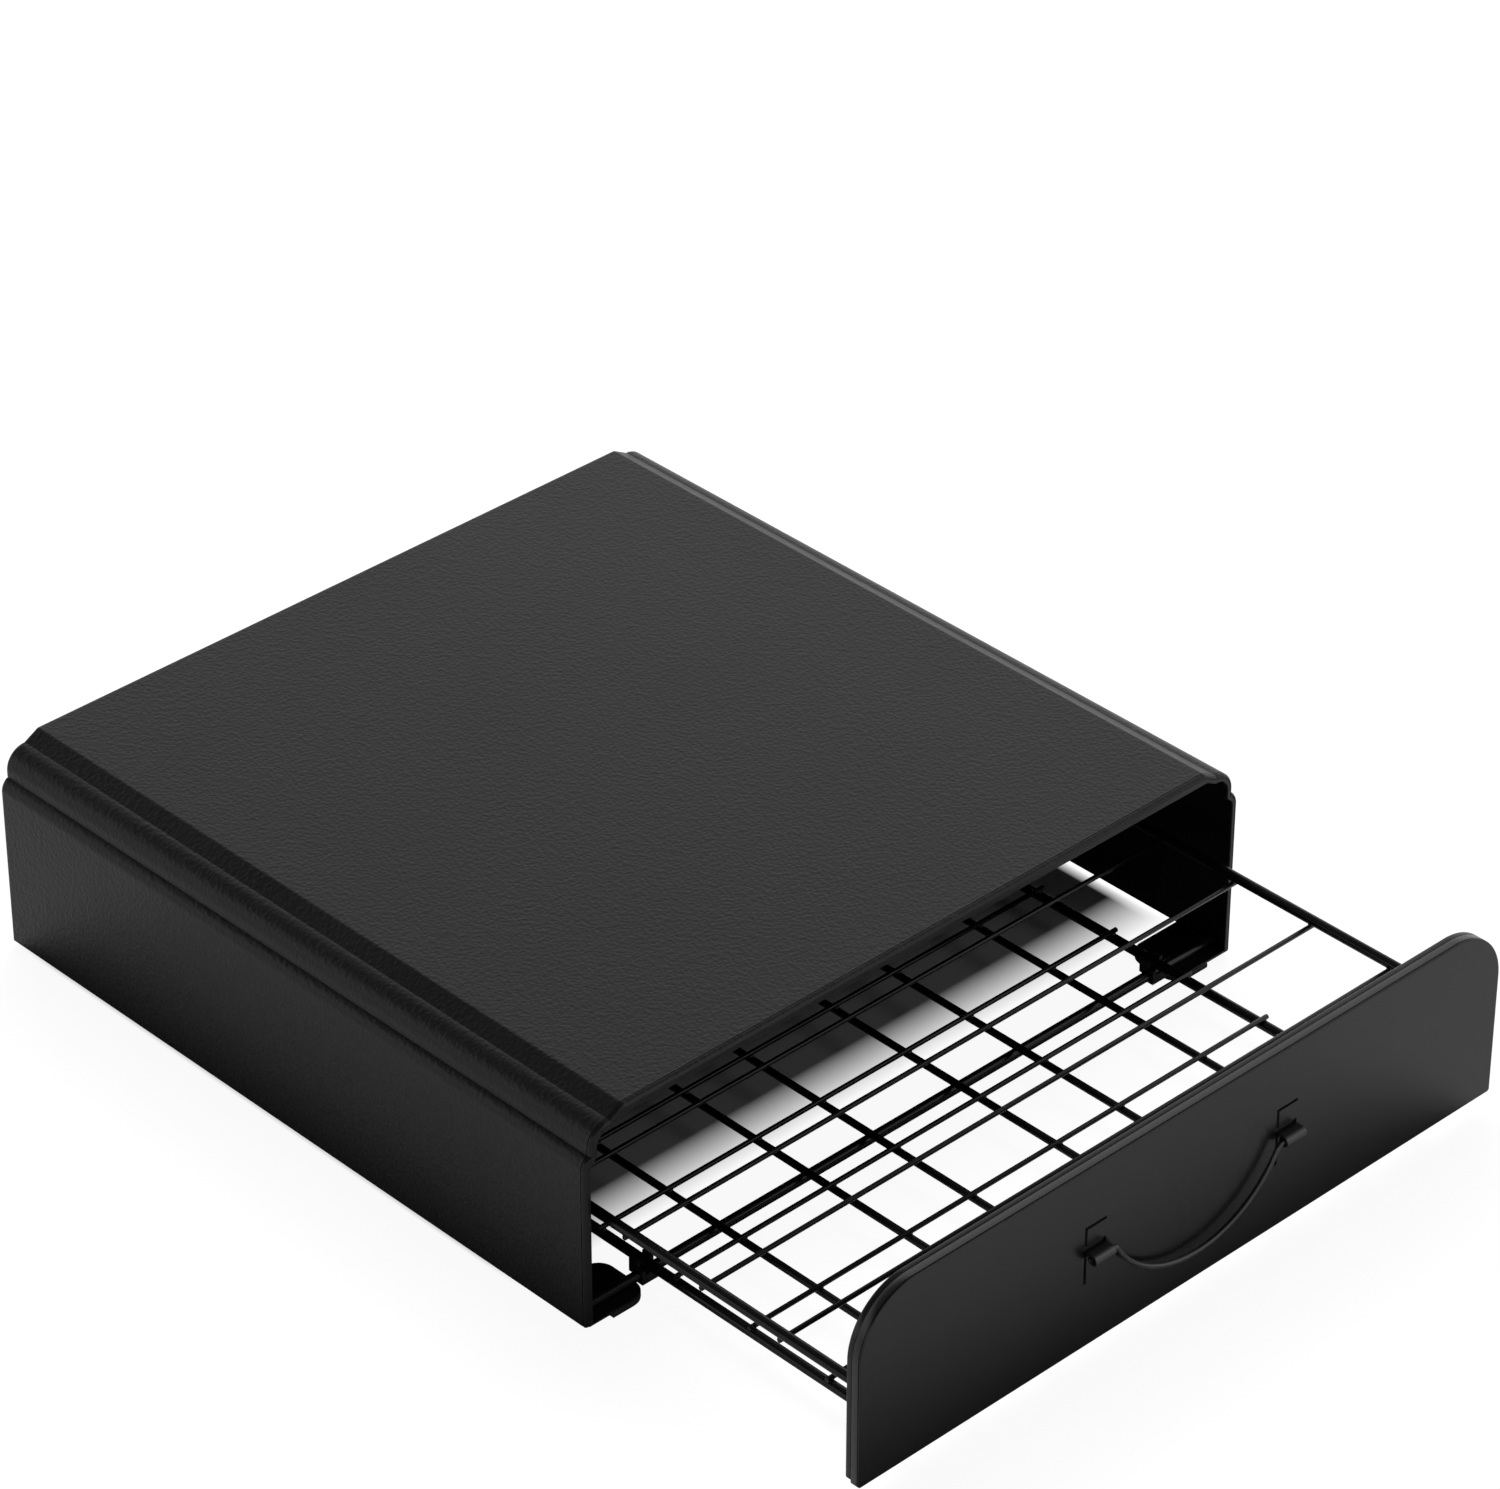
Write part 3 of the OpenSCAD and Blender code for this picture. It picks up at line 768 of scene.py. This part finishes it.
def make_loop(side):
    """A tongue of sheet rolled round the bail's end, with its leaf behind the drawer face."""
    node = f"hinge_loop_{side}"
    low, high = corners(node)
    outer = BARREL_D / 2
    thick = outer - BORE_R
    mid = (outer + BORE_R) / 2
    bend = LOOP_BEND_R
    axis_y, axis_z = low.y + outer, low.z + outer
    leaf_y = high.y - axis_y - thick / 2
    path = [(leaf_y, high.z - axis_z - LEAF_TIP), (leaf_y, mid + bend + LEAF_FOOT)]
    path += [(leaf_y - bend + bend * math.cos(a), mid + bend - bend * math.sin(a)) for a in quarter(5)]
    path += arc(0, 0, mid, 90, 90 + LOOP_TURN, steps=36)
    soft = LOOP_SOFT
    rings = []
    for x, inset in ((low.x, soft), (low.x + soft, 0), (high.x - soft, 0), (high.x, soft)):
        line = strip_section(path, thick - 2 * inset)
        rings.append([(x, axis_y + y, axis_z + z) for y, z in line])
    bm = bmesh.new()
    skin(bm, rings)
    piece = put(f"bail_loop_{side}", bm, "drawer", BAIL_COAT, [node])
    shade_faces(piece.data, lambda c: c.y > FACE_LOW.y + LOOP_SHADE)


def bail_line():
    """Middle line of the bail: in each loop, round its bend, and down in one arc to the middle."""
    low, high = corners("bail_handle")
    loop_low = corners("hinge_loop_right")[0]
    axis_z = loop_low.z + BARREL_D / 2
    bend_x = loop_low.x - BAIL_CLEAR
    drop = axis_z - (low.z + BAIL_R)
    slope = drop / (bend_x + BAIL_LEG)
    half = 2 * math.atan(slope)
    arc_r = (bend_x * (1 + slope ** 2) - BAIL_LEG * (1 - slope ** 2)) / (2 * slope) - BAIL_BEND_R
    arc_z = axis_z - drop + arc_r
    far, near = BAIL_SHANK
    right = [(high.x - BAIL_TIP, axis_z), (high.x - far, axis_z), (bend_x + near, axis_z)]
    right += [(bend_x - BAIL_BEND_R * math.sin(a), axis_z - BAIL_BEND_R + BAIL_BEND_R * math.cos(a))
              for a in [half * i / 10 for i in range(11)]]
    right += [(arc_r * math.sin(a), arc_z - arc_r * math.cos(a))
              for a in [half * (1 - i / 32) for i in range(33)]]
    y = middle("bail_handle").y
    return [Vector((x, y, z)) for x, z in right + [(-x, z) for x, z in reversed(right[:-1])]]


def make_bail():
    line = bail_line()
    last = len(line) - 1
    across = Vector((0, 1, 0))
    turns = [math.tau * k / BAIL_STEPS for k in range(BAIL_STEPS)]
    rings = []
    for i, p in enumerate(line):
        d = (line[min(i + 1, last)] - line[max(i - 1, 0)]).normalized()
        n = across.cross(d)
        r = BAIL_R - BAIL_END_SOFT if i in (0, last) else BAIL_R
        rings.append([p + (across * math.cos(a) + n * math.sin(a)) * r for a in turns])
    bm = bmesh.new()
    skin(bm, rings)
    put("bail_wire", bm, "bail", BAIL_COAT, ["bail_handle"])


# ---------- rods and wires ----------


def add_rod(bm, start, end, r):
    """A straight round rod between two points with softened ends."""
    start, end = Vector(start), Vector(end)
    along = (end - start).normalized()
    side = along.orthogonal().normalized()
    up = along.cross(side)
    length = (end - start).length
    stops = [(0, r - ROD_SOFT), (ROD_SOFT_MID, r - ROD_SOFT_MID), (ROD_SOFT, r)]
    stops += [(length - d, q) for d, q in reversed(stops)]
    turns = [math.tau * i / ROD_STEPS for i in range(ROD_STEPS)]
    rings = []
    for d, q in stops:
        centre = start + along * d
        rings.append([centre + (side * math.cos(a) + up * math.sin(a)) * q for a in turns])
    skin(bm, rings)


def node_rod(name, node, axis, body):
    """The rod that a node stands for, along the axis 0, 1 or 2."""
    low, high = corners(node)
    start, end = (low + high) / 2, (low + high) / 2
    start[axis], end[axis] = low[axis], high[axis]
    bm = bmesh.new()
    add_rod(bm, start, end, min(high[i] - low[i] for i in range(3)) / 2)
    put(name, bm, body, WIRE_COAT, [node])


def group_rods(name, node, axis):
    """The straight rods of one group node, found from where its points lie across the axis.

    Gives the ends of each rod's middle line."""
    low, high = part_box(node)
    thick = min(high - low)
    across = [i for i in range(3) if i != axis]
    groups = []
    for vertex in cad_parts[node].data.vertices:
        for group in groups:
            if all(abs(vertex.co[i] - group[0][i]) < thick * SAME_ROD for i in across):
                group.append(vertex.co)
                break
        else:
            groups.append([vertex.co])
    bm = bmesh.new()
    spans = []
    for group in groups:
        start = Vector([min(c[i] for c in group) for i in range(3)]) / MM
        end = Vector([max(c[i] for c in group) for i in range(3)]) / MM
        for i in across:
            start[i] = end[i] = (start[i] + end[i]) / 2
        add_rod(bm, start, end, thick / MM / 2)
        spans.append((start, end))
    put(name, bm, "drawer", WIRE_COAT, [node])
    return spans


def make_welds(beads):
    """Small weld beads, each a flattened ball with a centre and half sizes."""
    bm = bmesh.new()
    rows = WELD_STEPS // 2 + 2
    for centre, size in beads:
        made = bmesh.ops.create_uvsphere(bm, u_segments=WELD_STEPS, v_segments=rows, radius=1.0)
        bmesh.ops.scale(bm, vec=size, verts=made["verts"])
        bmesh.ops.translate(bm, vec=centre, verts=made["verts"])
    put("weld_beads", bm, "drawer", WIRE_COAT)


def make_basket():
    rails = {}
    for side in SIDES:
        for level in ("upper", "lower"):
            node = f"{level}_side_rod_{side}"
            node_rod(f"{level}_rail_{side}", node, 1, "drawer")
            rails[level, side] = middle(node)
    for level in ("upper", "lower"):
        for end in ENDS:
            node_rod(f"{level}_{end}_bar", f"{level}_{end}_rod", 0, "drawer")
    upper = group_rods("upper_wires", "upper_cross_wires", 0)
    lower = group_rods("lower_wires", "lower_cross_wires", 0)
    supports = group_rods("row_wires", "row_support_wires", 1)
    posts = group_rods("back_posts", "rear_posts", 2)

    upper_x = [rails["upper", side].x for side in SIDES]
    lower_x = [rails["lower", side].x for side in SIDES] + [start.x for start, _ in supports]
    upper_bar, lower_bar = middle("upper_rear_rod"), middle("lower_rear_rod")
    beads = []
    for start, _ in upper:
        beads += [((x, start.y, start.z + WIRE_WELD_OFF), WIRE_WELD) for x in upper_x]
    for start, _ in lower:
        beads += [((x, start.y, start.z - WIRE_WELD_OFF), WIRE_WELD) for x in lower_x]
    for end in ENDS:
        bar = middle(f"lower_{end}_rod")
        beads += [((x, bar.y, bar.z - BAR_WELD_OFF), LOWER_BAR_WELD) for x in lower_x]
    beads += [((x, upper_bar.y - BAR_WELD_OFF, upper_bar.z), RAIL_WELD) for x in upper_x]
    for start, _ in posts:
        beads += [((start.x, bar.y + BAR_WELD_OFF, bar.z), POST_WELD) for bar in (upper_bar, lower_bar)]
    make_welds(beads)


# ---------- cross rods and guides ----------


def make_cross_rods():
    for place in ("front", "middle", "rear"):
        node_rod(f"cross_bar_{place}", f"{place}_cross_rod", 0, "housing")


def paint_guides():
    for place in ("front", "middle"):
        for side in SIDES:
            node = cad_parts[f"guide_{place}_{side}"]
            node.data.materials.clear()
            node.data.materials.append(GUIDE_PLASTIC)


# ---------- studio ----------

# the photograph's view: place in metres, angles in degrees, lens in mm
CAMERA_PLACE = (-1.26873, -1.33080, 1.34610)
CAMERA_AZIMUTH = 43.692
CAMERA_TILT = 33.560
CAMERA_ROLL = 0.054
CAMERA_LENS = 146.4
CAMERA_SENSOR = 36.0

# floor: half its size in metres, its colour, and how much of it glows for the camera
FLOOR_HALF = 6.0
FLOOR_COLOUR = (0.80, 0.80, 0.80, 1)
FLOOR_GLOW = 1.1
FLOOR_GLOW_SHARE = 0.85

# shade under the housing, in mm: where it starts behind the front edge, and how softly it ends
SHADE_START = 34.0
SHADE_FADE = 25.0
SHADE_SIDE = 6.0

# the world's strength on the object and in its gloss, and the dark ceiling that the gloss sees
WORLD_LEVEL = 0.08
GLOSS_LEVEL = 0.95
CEILING_LEVEL = 0.06
CEILING_START = 0.55
CEILING_BLEND = 0.08
CEILING_LEAN = 0.25


def make_camera():
    data = bpy.data.cameras.new("camera")
    camera = bpy.data.objects.new("camera", data)
    bpy.context.scene.collection.objects.link(camera)
    data.lens = CAMERA_LENS
    data.sensor_width = CAMERA_SENSOR
    turn = Matrix.Rotation(math.radians(-CAMERA_AZIMUTH), 4, "Z")
    tilt = Matrix.Rotation(math.radians(90 - CAMERA_TILT), 4, "X")
    roll = Matrix.Rotation(math.radians(CAMERA_ROLL), 4, "Z")
    camera.matrix_world = Matrix.Translation(CAMERA_PLACE) @ turn @ tilt @ roll
    bpy.context.scene.camera = camera


def area_light(name, place, target, size, power):
    data = bpy.data.lights.new(name, "AREA")
    data.shape = "RECTANGLE"
    data.size, data.size_y = size
    data.energy = power
    light = bpy.data.objects.new(name, data)
    light.location = place
    light.rotation_euler = (Vector(target) - Vector(place)).to_track_quat("-Z", "Y").to_euler()
    bpy.context.scene.collection.objects.link(light)
    return light


def under_housing(tree):
    """Mask of the floor that the housing stands over, where only the light that gets in shows."""
    place = tree.nodes.new("ShaderNodeTexCoord")
    axes = tree.nodes.new("ShaderNodeSeparateXYZ")
    tree.links.new(place.outputs["Object"], axes.inputs[0])
    start = FRONT_Y + SHADE_START
    spans = (("X", 0.0, HALF_W, SHADE_SIDE), ("Y", (start + BACK_Y) / 2, (BACK_Y - start) / 2, SHADE_FADE))
    inside = []
    for axis, centre, half, fade in spans:
        off = math_node(tree, "ABSOLUTE", math_node(tree, "SUBTRACT", axes.outputs[axis], centre * MM))
        depth = math_node(tree, "SUBTRACT", half * MM, off)
        inside.append(math_node(tree, "DIVIDE", depth, fade * MM, clamp=True))
    return math_node(tree, "MULTIPLY", *inside)


def floor_material():
    """A matt floor that takes the shadows and glows white for the camera, apart from under the housing."""
    material = bpy.data.materials.new("pale_floor")
    material.use_nodes = True
    tree = material.node_tree
    tree.nodes.clear()
    out = tree.nodes.new("ShaderNodeOutputMaterial")
    matt = tree.nodes.new("ShaderNodeBsdfDiffuse")
    matt.inputs["Color"].default_value = FLOOR_COLOUR
    glow = tree.nodes.new("ShaderNodeEmission")
    glow.inputs["Color"].default_value = (1, 1, 1, 1)
    glow.inputs["Strength"].default_value = FLOOR_GLOW
    seen = tree.nodes.new("ShaderNodeLightPath")
    open_floor = math_node(tree, "SUBTRACT", 1.0, under_housing(tree))
    glowing = math_node(tree, "MULTIPLY", open_floor, FLOOR_GLOW_SHARE)
    mix = tree.nodes.new("ShaderNodeMixShader")
    tree.links.new(math_node(tree, "MULTIPLY", seen.outputs["Is Camera Ray"], glowing), mix.inputs["Fac"])
    tree.links.new(matt.outputs[0], mix.inputs[1])
    tree.links.new(glow.outputs[0], mix.inputs[2])
    tree.links.new(mix.outputs[0], out.inputs["Surface"])
    return material


def make_floor():
    bm = bmesh.new()
    bmesh.ops.create_grid(bm, x_segments=1, y_segments=1, size=FLOOR_HALF)
    mesh = bpy.data.meshes.new("floor")
    bm.to_mesh(mesh)
    bm.free()
    floor = bpy.data.objects.new("floor", mesh)
    bpy.context.scene.collection.objects.link(floor)
    mesh.materials.append(floor_material())


def ceiling_loss(tree):
    """How much less the gloss sees overhead, where a dark ceiling hangs that leans towards one side."""
    sight = tree.nodes.new("ShaderNodeTexCoord")
    axes = tree.nodes.new("ShaderNodeSeparateXYZ")
    tree.links.new(sight.outputs["Generated"], axes.inputs[0])
    lean = math_node(tree, "MULTIPLY", axes.outputs["X"], CEILING_LEAN)
    above = math_node(tree, "SUBTRACT", math_node(tree, "SUBTRACT", axes.outputs["Z"], lean), CEILING_START)
    ceiling = math_node(tree, "DIVIDE", above, CEILING_BLEND, clamp=True)
    return math_node(tree, "MULTIPLY", ceiling, GLOSS_LEVEL - CEILING_LEVEL)


def make_world():
    """Dim plain light on the object; the camera sees white, and the gloss pale sides and a dark ceiling."""
    world = bpy.data.worlds.new("studio")
    bpy.context.scene.world = world
    world.use_nodes = True
    tree = world.node_tree
    tree.nodes.clear()
    out = tree.nodes.new("ShaderNodeOutputWorld")
    back = tree.nodes.new("ShaderNodeBackground")
    seen = tree.nodes.new("ShaderNodeLightPath")
    direct = math_node(tree, "MAXIMUM", seen.outputs["Is Camera Ray"], seen.outputs["Is Transmission Ray"])
    glossy = math_node(tree, "SUBTRACT", GLOSS_LEVEL, ceiling_loss(tree))
    gloss = math_node(tree, "MULTIPLY", seen.outputs["Is Glossy Ray"], glossy)
    strength = math_node(tree, "MAXIMUM", math_node(tree, "MAXIMUM", direct, gloss), WORLD_LEVEL)
    back.inputs["Color"].default_value = (1, 1, 1, 1)
    tree.links.new(strength, back.inputs["Strength"])
    tree.links.new(back.outputs[0], out.inputs["Surface"])


def make_studio():
    make_camera()
    make_floor()
    make_world()
    key = area_light("key", place=(0.8, 0.8, 1.9), target=(0, 0, 0.04), size=(1.8, 1.8), power=54)
    key.visible_glossy = False
    area_light("fill", place=(0.7, -1.7, 1.1), target=(0, -0.15, 0.05), size=(0.9, 0.5), power=1.5)
    bpy.context.scene.view_settings.view_transform = "Standard"


make_studio()
make_housing()
make_rim()
make_rear_panel()
make_feet()
make_cross_rods()
paint_guides()
make_face()
make_backing()
for side in SIDES:
    make_loop(side)
make_bail()
make_basket()
